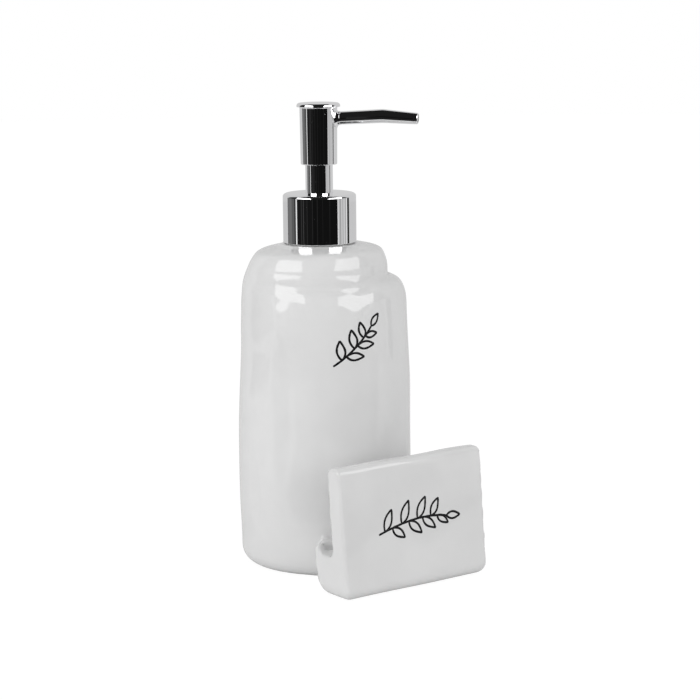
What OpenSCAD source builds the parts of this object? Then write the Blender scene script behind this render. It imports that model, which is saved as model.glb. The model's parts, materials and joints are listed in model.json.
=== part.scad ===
// Soap pump caddy: a hand-formed ceramic bottle with a sponge tray cast on its front,
// and a chromed lotion pump that screws onto a threaded insert in the bottle's mouth.
// Millimetres, +Z up. The origin is on the surface that the caddy stands on, on the
// pump's axis. The tray faces -Y, and +X is to the right of somebody who faces it.

/* [Bottle] */
// Radius at the belly, the widest place
belly_r = 40.7; // [37:0.1:46]
// Height of the belly above the table
belly_z = 46; // [40:1:80]
// Radius just above the rounded foot
foot_r = 39.9; // [36:0.1:44]
// Radius of the rounding round the foot
foot_round = 6; // [5:0.5:10]
// Radius where the shoulder starts to turn in
shoulder_r = 38.8; // [36:0.1:44]
// Height where the shoulder starts to turn in
shoulder_z = 120; // [100:1:128]
// Radius at which the shoulder has turned level, inside the dome
ledge_r = 30; // [24:0.5:31]
// Height of the ledge that ends the shoulder
ledge_z = 138.4; // [134:0.2:141]
// Radius of the upper step, the dome
dome_r = 33.2; // [28:0.1:36]
// Height from which the dome turns in
dome_z = 138; // [132:0.5:144]
// Radius of the flat land round the mouth
land_r = 20; // [18:0.1:24]
// Height of that land, on which the neck insert sits
land_z = 151.3; // [147:0.1:158]
// Thickness of the ceramic wall
wall_t = 4.5; // [3:0.1:5.5]
// Thickness of the bottle's floor
floor_t = 6; // [4:0.5:9]
// How far the hand-formed body sits to one side of the pump's axis
body_shift = 1.1; // [0:0.1:2]
// How far the dome sits to the other side
dome_shift = 1.3; // [0:0.1:2]
// Direction of those two shifts, in degrees from +X
shift_dir = -35.6; // [-180:1:180]

/* [Sponge tray] */
// Width of the tray, from end to end
tray_w = 81.5; // [64:0.5:90]
// How far the tray's middle sits to the right of the pump's axis
tray_shift = 1.7; // [0:0.1:2]
// Height of the name plate in front of the sponge
plate_h = 59.5; // [45:0.5:75]
// Thickness of that plate at its top
plate_t = 9; // [7.5:0.1:11]
// Distance from the pump's axis to the plate's foot
tray_front = 71.5; // [68:0.5:84]
// Lean of the plate's front face, in degrees
front_lean = 5.6; // [4:0.1:10]
// Lean of the plate's back face, in degrees
back_lean = 4.6; // [2:0.1:6]
// Rounding of the plate's edges
plate_round = 2.4; // [2:0.1:3.6]
// Rounding along the tray's foot
toe_round = 4.5; // [4:0.5:7]
// Distance from the pump's axis to the tray's free back edge
tray_back = 48.3; // [45:0.1:52]
// Height of the trough's floor
trough_z = 18.2; // [12:0.1:24]
// Height of the lip behind the trough, above its floor
lip_rise = 3.9; // [1:0.1:4]
// Thickness of that lip
lip_t = 2.4; // [1.5:0.1:4]
// Width of the waist that joins the tray to the bottle
waist_w = 52; // [40:1:60]

/* [Neck insert] */
// Radius of the insert's plug in the mouth
plug_r = 12.1; // [11:0.1:12.5]
// Depth of that plug below the land
plug_h = 8; // [6:0.5:12]
// Thickness of the adhesive round the plug
bond_t = 0.5; // [0.3:0.1:1]
// Radius of the insert's flange on the land
insert_flange_r = 15.8; // [14.6:0.1:15.9]
// Thickness of that flange
insert_flange_t = 1.6; // [1:0.1:2.5]
// Height of the threaded neck above the flange
neck_h = 10.2; // [8:0.1:13]
// Radius of the neck at the root of its thread
thread_root_r = 12.55; // [12:0.05:12.8]
// Height of the thread above its root
thread_h = 1.15; // [0.8:0.05:1.3]
// Rise of the thread in one turn
thread_pitch = 4.233; // [3:0.1:5]
// Bore of the neck, which the pump drops into
neck_bore_r = 9.4; // [8.8:0.1:10.4]

/* [Collar] */
// Outer radius of the chromed collar
collar_r = 17.25; // [17:0.05:19]
// Height of the collar
collar_h = 23; // [21:0.1:27]
// Thickness of the chromed shell
collar_wall = 0.8; // [0.5:0.1:1.2]
// Thickness of the collar's top
collar_top_t = 1.5; // [1:0.1:2.5]
// Rounding of the collar's top edge
collar_round = 0.9; // [0.3:0.1:1.2]

/* [Pump] */
// How far the head travels when it is pressed
stroke = 12; // [6:0.5:12.5]
// Radius of the chromed sleeve under the head
sleeve_r = 6.55; // [6.2:0.05:6.9]
// Length of the sleeve that shows between collar and head
sleeve_shows = 13.7; // [13.7:0.1:20]
// Length of the sleeve that stays inside the head
sleeve_hidden = 3; // [1.5:0.1:4]
// Outer radius of the stem
stem_r = 3.95; // [3.7:0.05:4.1]
// Radius of the stem's bore
stem_bore_r = 2.9; // [2.4:0.05:3]
// Bore of the pump cylinder, in which the piston runs
cylinder_r = 6.75; // [6.5:0.05:7.2]
// Wall of the pump cylinder
cylinder_wall = 1.15; // [0.9:0.05:1.3]
// How far the piston slips on the stem
piston_slip = 1.2; // [0.8:0.1:1.6]
// Length of the return spring at rest
spring_len = 33; // [30:0.5:38]
// Thickness of the spring's wire
spring_wire = 0.9; // [0.7:0.05:1]
// Mean radius of the spring's coils
spring_r = 4.6; // [4.4:0.05:5]
// Number of coils
spring_turns = 9; // [6:1:10]
// Radius of the check ball
ball_r = 3.175; // [2.8:0.005:3.3]
// How far the check ball can lift
ball_lift = 2; // [1:0.1:3]
// Outer radius of the dip tube
dip_r = 3.5; // [3:0.1:3.6]
// Wall of the dip tube
dip_wall = 1; // [0.6:0.1:1.2]
// Gap between the dip tube's cut end and the bottle's floor
dip_gap = 2.5; // [1.5:0.5:8]

/* [Head and nozzle] */
// Radius of the head
head_r = 8.7; // [8.5:0.05:9.6]
// Height of the head
head_h = 27.8; // [27:0.1:34]
// Radius of the disc on top of the head
disc_r = 10.2; // [9.8:0.1:12]
// Thickness of that disc
disc_t = 1.5; // [1:0.1:2]
// Wall of the chromed head shell
head_wall = 0.9; // [0.6:0.05:1]
// Direction of the nozzle at rest, in degrees from +X
nozzle_dir = -47.6; // [-180:1:180]
// Depth of the nozzle's root below the head's top
nozzle_drop = 6.7; // [6.4:0.1:8]
// Distance from the pump's axis to the nozzle's bend
bend_x = 30.2; // [20:0.1:36]
// Distance from the pump's axis to the nozzle's tip
tip_x = 47.6; // [40:0.1:60]
// How far the bend lies above the root
bend_rise = 1.1; // [0:0.1:2]
// How far the tip lies below the bend
tip_fall = 1; // [0.5:0.1:4]
// Nozzle radius at its root
nozzle_root_r = 3; // [2.7:0.05:3.2]
// Nozzle radius at its bend
nozzle_bend_r = 3.2; // [2.8:0.05:3.4]
// Nozzle radius at its tip
nozzle_tip_r = 2.6; // [2.4:0.05:2.9]
// Outer radius of the soft tube inside the nozzle
feed_r = 1.9; // [1.6:0.05:2]
// Bore of that tube
feed_bore_r = 1.35; // [1:0.05:1.4]

/* [Hidden] */

// Facets of round shapes, and of the balls that a hull stretches between
$fn = 96;
hull_fn = 32;
arc_steps = 8;
curve_steps = 14;
// Overrun of every cut past the face that it goes through
cut = 1;
// Radial clearance of a running fit, and the wider one of parts that must not touch
run_gap = 0.05;
free_gap = 0.4;
// Clearance left at the end of a stroke
end_gap = 0.7;

// Colours
glaze = [0.93, 0.93, 0.92];
chrome = [0.62, 0.63, 0.65];
natural = [0.90, 0.91, 0.90];
grey = [0.55, 0.56, 0.58];
steel = [0.72, 0.73, 0.74];
sealant = [0.80, 0.80, 0.76];

// Heights of the stack on the neck, from the land upwards
collar_gap = 0.5;
collar_low = land_z + collar_gap;
collar_top = collar_low + collar_h;
collar_roof_z = collar_top - collar_top_t;
collar_bead = 0.4;
insert_top = land_z + insert_flange_t;
rim_z = insert_top + neck_h;
gasket_t = 1.2;
gasket_top = rim_z + gasket_t;
housing_flange_t = 1.4;
housing_flange_top = gasket_top + housing_flange_t;
housing_rim_h = 3.8;
housing_rim_top = housing_flange_top + housing_rim_h;
lock_flange_t = 1.3;
lock_flange_top = housing_rim_top + lock_flange_t;
head_low = collar_top + sleeve_shows;
head_top = head_low + head_h;
sleeve_top = head_low + sleeve_hidden;
guide_top = sleeve_top - end_gap;
nozzle_z = head_top - nozzle_drop;

// Mouth of the bottle
mouth_r = plug_r + bond_t;

// Tray: distances towards the front, taken as positive
plate_seam = 0.2;
top_round = min(plate_round, plate_t / 2 - plate_seam);
lip_z = trough_z + lip_rise;
dish_round = 3;
heel_round = 5;
lip_round = 1;
waist_in = 6;
function front_s(z) = tray_front - (z - toe_round) * tan(front_lean);
function back_s(z) = front_s(plate_h) - plate_t + (plate_h - z) * tan(back_lean);

// Collar liner and the pieces that it clamps
liner_r = collar_r - collar_wall;
thread_gap = 0.25;
liner_bore_r = thread_root_r + thread_h + thread_gap;
liner_low = insert_top + free_gap;
liner_web_t = 1.5;
liner_wall = 1.2;
housing_rim_wall = 2.15;
housing_rim_r = cylinder_r + housing_rim_wall;
housing_flange_r = liner_bore_r - free_gap - thread_gap;

// Pump cylinder, from the lock ring's skirt down to the dip tube
housing_r = cylinder_r + cylinder_wall;
lock_skirt_h = 13.3;
lock_skirt_low = housing_rim_top - lock_skirt_h;
bell_h = 2.2;
bell_step = 1.25;
bell_r = stem_r + bell_step;
stem_low = lock_skirt_low - bell_h;
piston_sleeve_h = 4.3;
tip_top = stem_low - piston_sleeve_h - piston_slip;
tip_head_t = 2.5;
tip_head_step = 0.3;
tip_head_r = spring_r + tip_head_step;
spring_top = tip_top - tip_head_t;
spring_low = spring_top - spring_len;
retainer_t = 1.5;
cage_top = spring_low - retainer_t;
cage_gap = 0.5;
cage_r = ball_r + cage_gap;
ball_gap = 0.1;
ball_z = cage_top - ball_lift - ball_gap - ball_r;
cone_apex = ball_z - (ball_r + ball_gap) * sqrt(2);
throat_r = 1.9;
throat_h = 1;
socket_top = cone_apex + throat_r - throat_h;
socket_h = 10;
socket_wall = 1.5;
socket_r = dip_r + socket_wall;
socket_low = socket_top - socket_h;
neck_taper = 3;
vent_r = 0.6;
retainer_bar_w = 1.2;
dip_slant = 35;

// Head: the cavity that runs over the sleeve, and the socket for the stem
core_r = head_r - head_wall;
head_cavity_r = sleeve_r + free_gap;
head_ceiling = sleeve_top + stroke + end_gap;
lid_t = 1.6;
core_top = head_top - disc_t - lid_t;
core_inset = 1;
core_low = head_low + core_inset;
boss_h = 1.2;
sleeve_wall = 0.55;
boss_r = sleeve_r - sleeve_wall - free_gap;
stem_seat = 0.1;
stem_top = nozzle_z - feed_r - stem_seat;

// Curves

function arc(centre, r, from, to) =
    [for (i = [0:arc_steps]) let (a = from + (to - from) * i / arc_steps) centre + r * [cos(a), sin(a)]];

// Barrel-shaped side of the bottle, from the foot past the belly to the shoulder
function side_r(z) =
    let (end_z = z < belly_z ? foot_round : shoulder_z, end_r = z < belly_z ? foot_r : shoulder_r)
    belly_r - (belly_r - end_r) * pow((z - belly_z) / (end_z - belly_z), 2);

function side(inset, low) =
    [for (i = [0:curve_steps]) let (z = low + (shoulder_z - low) * i / curve_steps)
        [side_r(z) - inset, z]];

// Quarter of an ellipse, from a wall that stands upright to a flat top
function turn_in(r_wall, r_top, low, high) =
    [for (i = [1:arc_steps]) let (a = 90 * i / arc_steps)
        [r_top + (r_wall - r_top) * cos(a), low + (high - low) * sin(a)]];

// Faces of a body swept through rings of points, each ring with the same number of sides
function swept_faces(rings, sides) =
    concat([[for (k = [0:sides - 1]) sides - 1 - k]],
        [for (i = [0:rings - 2]) for (k = [0:sides - 1])
            let (a = sides * i + k, b = sides * i + (k + 1) % sides)
            each [[a, b, a + sides], [b, b + sides, a + sides]]],
        [[for (k = [0:sides - 1]) sides * (rings - 1) + k]]);

module shifted(distance) {
    translate([distance * cos(shift_dir), distance * sin(shift_dir), 0]) children();
}

module tube(r_out, r_in, low, high) {
    difference() {
        translate([0, 0, low]) cylinder(r = r_out, h = high - low);
        translate([0, 0, low - cut]) cylinder(r = r_in, h = high - low + 2 * cut);
    }
}

module disc(r, low, high) {
    translate([0, 0, low]) cylinder(r = r, h = high - low);
}

// Bottle and tray

module bottle_form(inset, base) {
    round_r = max(foot_round - inset, inset / 4);
    side_low = base + round_r;
    corner = [side_r(side_low) - inset - round_r, side_low];
    shifted(body_shift)
        rotate_extrude()
            polygon(concat([[0, base]], arc(corner, round_r, -90, 0), side(inset, side_low),
                turn_in(shoulder_r - inset, ledge_r - inset, shoulder_z, ledge_z - inset),
                [[0, ledge_z - inset]]));
    shifted(-dome_shift)
        rotate_extrude()
            polygon(concat([[0, shoulder_z], [dome_r - inset, shoulder_z]],
                [[dome_r - inset, dome_z]],
                turn_in(dome_r - inset, land_r - inset, dome_z, land_z - inset),
                [[0, land_z - inset]]));
}

module ball_at(x, s, z, r) {
    translate([x, -s, z]) sphere(r = r, $fn = hull_fn);
}

// The plate in front of the sponge, drawn between eight balls
module tray_plate() {
    top_z = plate_h - top_round;
    hull()
        for (side = [-1, 1]) {
            ball_at(side * (tray_w / 2 - top_round), front_s(top_z) - top_round, top_z, top_round);
            ball_at(side * (tray_w / 2 - top_round), back_s(top_z) + top_round, top_z, top_round);
            ball_at(side * (tray_w / 2 - toe_round), tray_front - toe_round, toe_round, toe_round);
            ball_at(side * (tray_w / 2 - heel_round), back_s(toe_round) + heel_round, heel_round, heel_round);
        }
}

// The base under the trough, whose free edges carry a low lip
module tray_base() {
    hull()
        for (side = [-1, 1]) {
            ball_at(side * (tray_w / 2 - toe_round), tray_front - toe_round, toe_round, toe_round);
            ball_at(side * (tray_w / 2 - heel_round), tray_back + heel_round, heel_round, heel_round);
            ball_at(side * (tray_w / 2 - lip_round), tray_back + lip_round, lip_z - lip_round, lip_round);
            ball_at(side * (tray_w / 2 - top_round), back_s(lip_z) + top_round, lip_z - top_round, top_round);
        }
}

// The waist that sweeps in from the tray's back edge to the bottle
module tray_waist() {
    waist_s = foot_r - waist_in;
    hull()
        for (side = [-1, 1]) {
            ball_at(side * (tray_w / 2 - heel_round), tray_back + heel_round, heel_round, heel_round);
            ball_at(side * (tray_w / 2 - lip_round), tray_back + lip_round, lip_z - lip_round, lip_round);
            ball_at(side * (waist_w / 2 - heel_round), waist_s, heel_round, heel_round);
            ball_at(side * (waist_w / 2 - lip_round), waist_s, lip_z - lip_round, lip_round);
        }
}

// Open-ended trough: a dished channel, and the floor that runs back to the bottle
module trough() {
    back = tray_back + lip_t;
    front = back_s(lip_z) - run_gap;
    rotate([90, 0, -90])
        translate([0, 0, -tray_w / 2 - cut])
            linear_extrude(tray_w + 2 * cut)
                polygon(concat([[front, lip_z + cut], [back, lip_z + cut]],
                    arc([back + dish_round, trough_z + dish_round], dish_round, 180, 270),
                    arc([front - dish_round, trough_z + dish_round], dish_round, -90, 0)));
    translate([0, 0, trough_z])
        linear_extrude(lip_rise + cut)
            polygon([[-tray_w / 2 + lip_t, -back - dish_round], [tray_w / 2 - lip_t, -back - dish_round],
                [tray_w / 2 - lip_t, -back], [waist_w / 2 - lip_t, -foot_r + waist_in],
                [-waist_w / 2 + lip_t, -foot_r + waist_in], [-tray_w / 2 + lip_t, -back]]);
}

module caddy_body() {
    color(glaze)
        difference() {
            union() {
                bottle_form(0, 0);
                translate([tray_shift, 0, 0])
                    difference() {
                        union() {
                            tray_plate();
                            tray_base();
                            tray_waist();
                        }
                        trough();
                    }
            }
            bottle_form(wall_t, floor_t);
            disc(mouth_r, land_z - wall_t - plug_h, land_z + cut);
        }
}

// Neck insert and its bond

// Ridge that winds round the neck: four corners a step, fading in and out at its ends
thread_low = insert_top + thread_pitch / 2;
thread_turns = (neck_h - thread_pitch) / thread_pitch;
thread_steps_a_turn = 36;
thread_root_share = 0.56;
thread_crest_share = 0.26;
thread_fade_share = 0.12;
thread_sink = 0.3;

module neck_thread() {
    steps = floor(thread_turns * thread_steps_a_turn);
    root_w = thread_pitch * thread_root_share;
    crest_w = thread_pitch * thread_crest_share;
    points = [for (i = [0:steps])
        let (share = i / steps,
            turn = 360 * i / thread_steps_a_turn,
            fade = min(1, share / thread_fade_share, (1 - share) / thread_fade_share),
            crest = thread_root_r + thread_h * max(fade, thread_fade_share),
            root = thread_root_r - thread_sink,
            z = thread_low + thread_pitch * i / thread_steps_a_turn)
        for (corner = [[root, -root_w / 2], [crest, -crest_w / 2], [crest, crest_w / 2], [root, root_w / 2]])
            [corner[0] * cos(turn), corner[0] * sin(turn), z + corner[1]]];
    polyhedron(points, swept_faces(steps + 1, 4));
}

module neck_insert() {
    color(natural)
        difference() {
            union() {
                disc(plug_r, land_z - plug_h, insert_top);
                disc(insert_flange_r, land_z, insert_top);
                disc(thread_root_r, insert_top, rim_z);
                neck_thread();
            }
            disc(neck_bore_r, land_z - plug_h - cut, rim_z + cut);
        }
}

module insert_bond() {
    color(sealant) tube(mouth_r, plug_r, land_z - plug_h + bond_t, land_z);
}

module neck_gasket() {
    color(grey) tube(thread_root_r, housing_r + 2 * run_gap, rim_z, gasket_top);
}

// Collar

module collar_shell() {
    color(chrome)
        rotate_extrude()
            polygon(concat([[liner_r, collar_low], [collar_r - collar_bead, collar_low]],
                [[collar_r, collar_low + collar_bead]],
                arc([collar_r - collar_round, collar_top - collar_round], collar_round, 0, 90),
                [[sleeve_r + 2 * run_gap, collar_top], [sleeve_r + 2 * run_gap, collar_roof_z],
                    [liner_r, collar_roof_z]]));
}

module collar_liner() {
    web_top = housing_flange_top + liner_web_t;
    color(natural)
        difference() {
            disc(liner_r, liner_low, collar_roof_z);
            disc(liner_bore_r, liner_low - cut, housing_flange_top);
            disc(housing_rim_r + free_gap, housing_flange_top - cut, web_top + cut);
            disc(liner_r - liner_wall, web_top, collar_roof_z + cut);
        }
}

// Fixed parts of the pump

module neck_sleeve() {
    color(chrome)
        rotate_extrude()
            polygon([[sleeve_r - sleeve_wall, lock_flange_top], [sleeve_r, lock_flange_top],
                [sleeve_r, sleeve_top - sleeve_wall / 2], [sleeve_r - sleeve_wall / 2, sleeve_top],
                [sleeve_r - sleeve_wall, sleeve_top]]);
}

module lock_ring() {
    color(natural)
        difference() {
            union() {
                disc(cylinder_r - run_gap, lock_skirt_low, housing_rim_top);
                disc(housing_rim_r, housing_rim_top, lock_flange_top);
                disc(sleeve_r - sleeve_wall, lock_flange_top, guide_top);
            }
            disc(stem_r + run_gap, lock_skirt_low - cut, guide_top + cut);
        }
}

module pump_housing() {
    body_low = cage_top - 2 * cylinder_wall;
    neck_top = body_low - neck_taper;
    vent_z = tip_top + piston_sleeve_h / 2;
    color(natural)
        difference() {
            union() {
                disc(socket_r, socket_low, neck_top + cut);
                translate([0, 0, neck_top])
                    cylinder(r1 = socket_r, r2 = housing_r, h = neck_taper);
                disc(housing_r, body_low, gasket_top);
                disc(housing_flange_r, gasket_top, housing_flange_top);
                disc(housing_rim_r, housing_flange_top, housing_rim_top);
            }
            disc(cylinder_r, cage_top, housing_rim_top + cut);
            disc(cage_r, cone_apex + cage_r, cage_top + cut);
            translate([0, 0, cone_apex + throat_r])
                cylinder(r1 = throat_r, r2 = cage_r, h = cage_r - throat_r);
            disc(throat_r, socket_top - cut, cone_apex + throat_r + run_gap);
            disc(dip_r, socket_low - cut, socket_top);
            translate([0, 0, vent_z])
                rotate([0, 90, 0])
                    cylinder(r = vent_r, h = housing_r + cut, $fn = hull_fn);
        }
}

// Ring with two crossed bars: it seats the spring and holds the ball in its cage
module ball_retainer() {
    color(natural)
        intersection() {
            disc(cylinder_r - run_gap, cage_top, spring_low);
            union() {
                tube(cylinder_r, cage_r, cage_top - cut, spring_low + cut);
                for (turn = [0, 90])
                    rotate([0, 0, turn])
                        translate([-cylinder_r, -retainer_bar_w / 2, cage_top - cut])
                            cube([2 * cylinder_r, retainer_bar_w, retainer_t + 2 * cut]);
            }
        }
}

module check_ball() {
    color(steel) translate([0, 0, ball_z]) sphere(r = ball_r);
}

// Dip tube, its lower end cut at a slant so that it can't seal on the floor
module dip_tube() {
    low = floor_t + dip_gap;
    color(natural)
        difference() {
            tube(dip_r, dip_r - dip_wall, low, socket_top);
            translate([-dip_r, 0, low])
                rotate([0, -dip_slant, 0])
                    translate([-dip_r, -2 * dip_r, -4 * dip_r])
                        cube([8 * dip_r, 4 * dip_r, 4 * dip_r]);
        }
}

// Return spring: one wire whose first and last coils lie close together

spring_rings_a_turn = 8;
spring_sides = 6;
spring_end_gap = 0.5;
spring_end_pitch = spring_wire + spring_end_gap;
spring_mid_pitch = (spring_len - spring_wire - 2 * spring_end_pitch) / (spring_turns - 2);

function spring_rise(turn) =
    turn < 1 ? spring_end_pitch * turn
    : turn > spring_turns - 1 ? spring_len - spring_wire - spring_end_pitch * (spring_turns - turn)
    : spring_end_pitch + spring_mid_pitch * (turn - 1);

function spring_line(turn) =
    [spring_r * cos(360 * turn), spring_r * sin(360 * turn),
        spring_low + spring_wire / 2 + spring_rise(turn)];

spring_centres = [for (i = [0:spring_turns * spring_rings_a_turn]) spring_line(i / spring_rings_a_turn)];
spring_self_gap = min([for (i = [0:len(spring_centres) - spring_rings_a_turn - 1])
    norm(spring_centres[i + spring_rings_a_turn] - spring_centres[i])]) - spring_wire;
echo(spring_self_gap = spring_self_gap);

module return_spring() {
    rings = len(spring_centres);
    points = [for (i = [0:rings - 1]) for (k = [0:spring_sides - 1])
        let (turn = 360 * i / spring_rings_a_turn, a = 360 * (k + 0.5) / spring_sides,
            r = spring_r + spring_wire / 2 * cos(a))
        [r * cos(turn), r * sin(turn), spring_centres[i][2] + spring_wire / 2 * sin(a)]];
    color(steel) polyhedron(points, swept_faces(rings, spring_sides));
}

// Moving parts of the pump

// Stem tip: wall of its shank, and radius of the ports just above its head
shank_wall = 1;
port_r = 0.75;
// Piston: how deep the skirt's waist is relieved, how tall each lip is, how far the skirt
// reaches below the sleeve and above the stem's end, and where its web lies
lip_relief = 0.35;
lip_h = 1.4;
skirt_drop = 1;
skirt_rise = 0.5;
web_rise = 1.4;
web_t = 1.2;

module stem() {
    color(natural)
        difference() {
            union() {
                disc(stem_r, stem_low, stem_top);
                disc(bell_r, stem_low, lock_skirt_low);
            }
            disc(stem_bore_r, stem_low - cut, stem_top + cut);
        }
}

// Plug in the stem's lower end: its head carries the piston, its side ports let soap in
module stem_tip() {
    shank_r = stem_bore_r - run_gap;
    shank_top = stem_low + 2 * piston_sleeve_h;
    boss_low = spring_top - 2 * tip_head_t;
    color(natural)
        difference() {
            union() {
                disc(shank_r, spring_top, shank_top);
                disc(tip_head_r, spring_top, tip_top);
                disc(spring_r - spring_wire - run_gap, boss_low, spring_top);
            }
            disc(shank_r - shank_wall, tip_top, shank_top + cut);
            for (turn = [0, 90])
                rotate([0, 0, turn])
                    translate([0, 0, tip_top + port_r])
                        rotate([0, 90, 0])
                            cylinder(r = port_r, h = 2 * (shank_r + cut), center = true, $fn = hull_fn);
        }
}

// Piston: a sleeve on the stem tip, a web, and a skirt with two lips that wipe the bore
module piston_seal() {
    lip_r = cylinder_r - run_gap;
    sleeve_in = stem_bore_r + run_gap;
    skirt_in = bell_r + free_gap;
    skirt_out = lip_r - lip_relief;
    skirt_low = tip_top - skirt_drop;
    skirt_top = stem_low + skirt_rise;
    web_low = tip_top + web_rise;
    color(grey)
        rotate_extrude()
            polygon([[sleeve_in, tip_top], [spring_r, tip_top], [spring_r, web_low],
                [skirt_in, web_low], [skirt_in, skirt_low], [lip_r, skirt_low],
                [lip_r, skirt_low + lip_h], [skirt_out, skirt_low + lip_h + lip_relief],
                [skirt_out, skirt_top - lip_h - lip_relief], [lip_r, skirt_top - lip_h],
                [lip_r, skirt_top], [skirt_in, skirt_top], [skirt_in, web_low + web_t],
                [spring_r, web_low + web_t], [spring_r, tip_top + piston_sleeve_h],
                [sleeve_in, tip_top + piston_sleeve_h]]);
}

// Head

flare_h = 3;
flare_out_share = 0.75;
disc_round = 0.5;
head_round = 0.5;

// Straight line from the root of the nozzle to its bend, and from the bend to its tip
rise_angle = atan(bend_rise / (bend_x - head_r));
fall_angle = atan(tip_fall / (tip_x - bend_x));
nozzle_start_z = nozzle_z - head_r * tan(rise_angle);

function rise_z(x) = nozzle_start_z + x * tan(rise_angle);

// Cone along the rising part, between two distances from the pump's axis
module rising(x1, x2, r1, r2) {
    translate([x1, 0, rise_z(x1)])
        rotate([0, 90 - rise_angle, 0])
            cylinder(r1 = r1, r2 = r2, h = (x2 - x1) / cos(rise_angle));
}

// Cone along the falling part, between two distances from the bend
module falling(d1, d2, r1, r2) {
    translate([bend_x, 0, rise_z(bend_x)])
        rotate([0, 90 + fall_angle, 0])
            translate([0, 0, d1])
                cylinder(r1 = r1, r2 = r2, h = d2 - d1);
}

// Block on one side of the mitre at the bend, reaching a little past it: side 1 is towards the
// tip, -1 towards the head
mitre_lap = 0.02;

module mitre(side) {
    block = tip_x;
    translate([bend_x, 0, rise_z(bend_x)])
        rotate([0, (fall_angle - rise_angle) / 2, 0])
            translate([side * (block / 2 - mitre_lap), 0, 0])
                cube([block, block, block], center = true);
}

// Pipe from x1 past the bend to a distance beyond it, cut and joined on the mitre. The part
// before the bend is thinner there by a fine step.
module bent_pipe(x1, length, r1, r_bend, r2) {
    reach = r_bend;
    r_before = r_bend - bend_step;
    intersection() {
        rising(x1, bend_x + reach, r1, r_before + (r_before - r1) * reach / (bend_x - x1));
        mitre(-1);
    }
    intersection() {
        falling(-reach, length, r_bend + (r_bend - r2) * reach / length, r2);
        mitre(1);
    }
}

nozzle_length = (tip_x - bend_x) / cos(fall_angle);
bend_step = 0.05;
root_ring_t = 1.1;
root_lip = 0.25;
root_ring_r = nozzle_root_r + root_ring_t;
root_ring_h = 1.6;
spigot_wall = 0.7;
spigot_r = feed_r + spigot_wall;

module head_shell() {
    flare_low = head_top - disc_t - flare_h;
    flare_r = head_r + (disc_r - head_r) * flare_out_share;
    color(chrome)
        difference() {
            rotate_extrude()
                polygon(concat([[0, head_low], [head_r - head_round, head_low]],
                    arc([head_r - head_round, head_low + head_round], head_round, -90, 0),
                    [for (i = [0:arc_steps]) let (a = 90 * i / arc_steps)
                        [head_r + (flare_r - head_r) * (1 - cos(a)), flare_low + flare_h * sin(a)]],
                    [[disc_r - disc_round, head_top - disc_t]],
                    arc([disc_r - disc_round, head_top - disc_t + disc_round], disc_round, -90, 0),
                    arc([disc_r - disc_round, head_top - disc_round], disc_round, 0, 90),
                    [[0, head_top]]));
            disc(core_r, head_low - cut, core_top);
            rotate([0, 0, nozzle_dir]) rising(0, head_r + cut, spigot_r, spigot_r);
        }
}

// Plastic core in the head: it hangs on the stem, and soap turns in it to the nozzle
module head_core() {
    color(natural)
        difference() {
            union() {
                tube(core_r, head_cavity_r, core_low, head_ceiling + cut);
                disc(core_r, head_ceiling, core_top);
                disc(boss_r, head_ceiling - boss_h, head_ceiling + cut);
            }
            disc(stem_r + run_gap, head_ceiling - boss_h - cut, stem_top);
            disc(feed_r, stem_top - cut, nozzle_z);
            rotate([0, 0, nozzle_dir]) rising(0, head_r + cut, feed_r, feed_r);
        }
}

module nozzle() {
    color(chrome)
        rotate([0, 0, nozzle_dir])
            difference() {
                union() {
                    bent_pipe(0, nozzle_length, nozzle_root_r, nozzle_bend_r, nozzle_tip_r);
                    rising(0, head_r + root_ring_h, root_ring_r, nozzle_root_r + root_lip);
                }
                difference() {
                    disc(head_r, nozzle_z - head_r, nozzle_z + head_r);
                    rising(0, head_r + cut, spigot_r, spigot_r);
                }
                disc(core_r, nozzle_z - head_r, nozzle_z + head_r);
                bent_pipe(0, nozzle_length + cut, feed_r, feed_r, feed_r);
            }
}

module nozzle_tube() {
    inside = nozzle_length - feed_r / 2;
    tube_r = feed_r - run_gap;
    color(natural)
        rotate([0, 0, nozzle_dir])
            difference() {
                bent_pipe(feed_r * 2, inside, tube_r, tube_r, tube_r);
                bent_pipe(0, inside + cut, feed_bore_r, feed_bore_r, feed_bore_r);
            }
}

caddy_body();
neck_insert();
insert_bond();
neck_gasket();
collar_shell();
collar_liner();
neck_sleeve();
lock_ring();
pump_housing();
ball_retainer();
check_ball();
dip_tube();
return_spring();
stem();
stem_tip();
piston_seal();
head_shell();
head_core();
nozzle();
nozzle_tube();
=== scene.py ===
# %% [markdown]
# # Soap pump caddy
# A hand-formed ceramic bottle with a sponge tray cast on its front, and a chromed lotion pump.
# The CAD model is the fixed frame: it says where every piece is and how it moves. This script
# gives each piece its look, from ordinary meshes, Geometry Nodes and procedural shader nodes.
# Lengths are written in millimetres and turned into metres where a mesh is made.

# %% Load the frame
import json
import math

import bpy
import numpy as np
from mathutils import Matrix, Vector
from mathutils.bvhtree import BVHTree

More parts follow.
